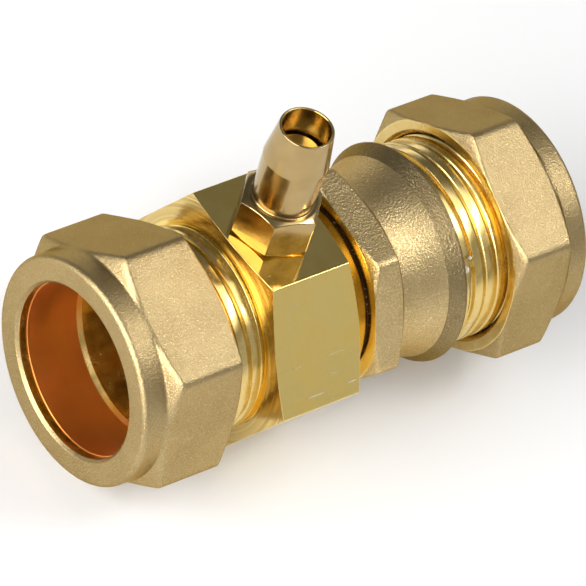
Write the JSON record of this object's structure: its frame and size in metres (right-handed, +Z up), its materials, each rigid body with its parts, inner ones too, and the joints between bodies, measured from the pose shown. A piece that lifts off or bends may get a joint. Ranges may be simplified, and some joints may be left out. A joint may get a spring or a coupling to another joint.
{
  "type": "pressure test point",
  "caption": "Brass pressure test point for 22 mm copper pipe: nut and olive at each end, hexagon block with a screwed adaptor, and a hose nipple with a sealing screw on top.",
  "frame": {"origin": "on the pipe axis, at the stop that the left pipe's end meets", "axes": "+X along the pipe axis from the left nut to the right nut, +Z up the test nipple"},
  "size_m": [0.0694, 0.0346, 0.0502],
  "materials": {
    "polished_brass": "machined and polished",
    "turned_brass": "fine turned",
    "stamped_brass": "shot-blasted",
    "copper": "drawn",
    "seal": "moulded"
  },
  "bodies": {
    "fitting": {"test_body": "polished_brass", "adaptor": "stamped_brass", "test_nipple": "turned_brass"},
    "left_olive": {"left_olive": "copper"},
    "left_nut": {"left_nut": "stamped_brass"},
    "right_olive": {"right_olive": "copper"},
    "right_nut": {"right_nut": "stamped_brass"},
    "screw_seal": {"screw_seal": "seal"},
    "sealing_screw": {"sealing_screw": "turned_brass"}
  },
  "joints": [
    {"name": "left_olive_travel", "type": "slide", "parent": "fitting", "child": "left_olive", "axis": [-1, 0, 0], "range_m": [0, 0.0055]},
    {"name": "left_nut_turn", "type": "hinge", "parent": "left_olive", "child": "left_nut", "pos_m": [0, 0, 0], "axis": [-1, 0, 0], "range_deg": [0, 1080]},
    {"name": "right_olive_travel", "type": "slide", "parent": "fitting", "child": "right_olive", "axis": [1, 0, 0], "range_m": [0, 0.0037]},
    {"name": "right_nut_turn", "type": "hinge", "parent": "right_olive", "child": "right_nut", "pos_m": [0.0296, 0, 0], "axis": [1, 0, 0], "range_deg": [0, 720]},
    {"name": "screw_seal_travel", "type": "slide", "parent": "fitting", "child": "screw_seal", "axis": [0, 0, 1], "range_m": [0, 0.0014]},
    {"name": "sealing_screw_turn", "type": "hinge", "parent": "screw_seal", "child": "sealing_screw", "pos_m": [0.0062, 0, 0.029], "axis": [0, 0, 1], "range_deg": [0, 723]}
  ],
  "couplings": [
    {"joint": "left_olive_travel", "follows": "left_nut_turn", "m_per_rad": 0.00028871},
    {"joint": "right_olive_travel", "follows": "right_nut_turn", "m_per_rad": 0.00028871},
    {"joint": "sealing_screw_turn", "follows": "screw_seal_travel", "rad_per_m": 8976}
  ]
}
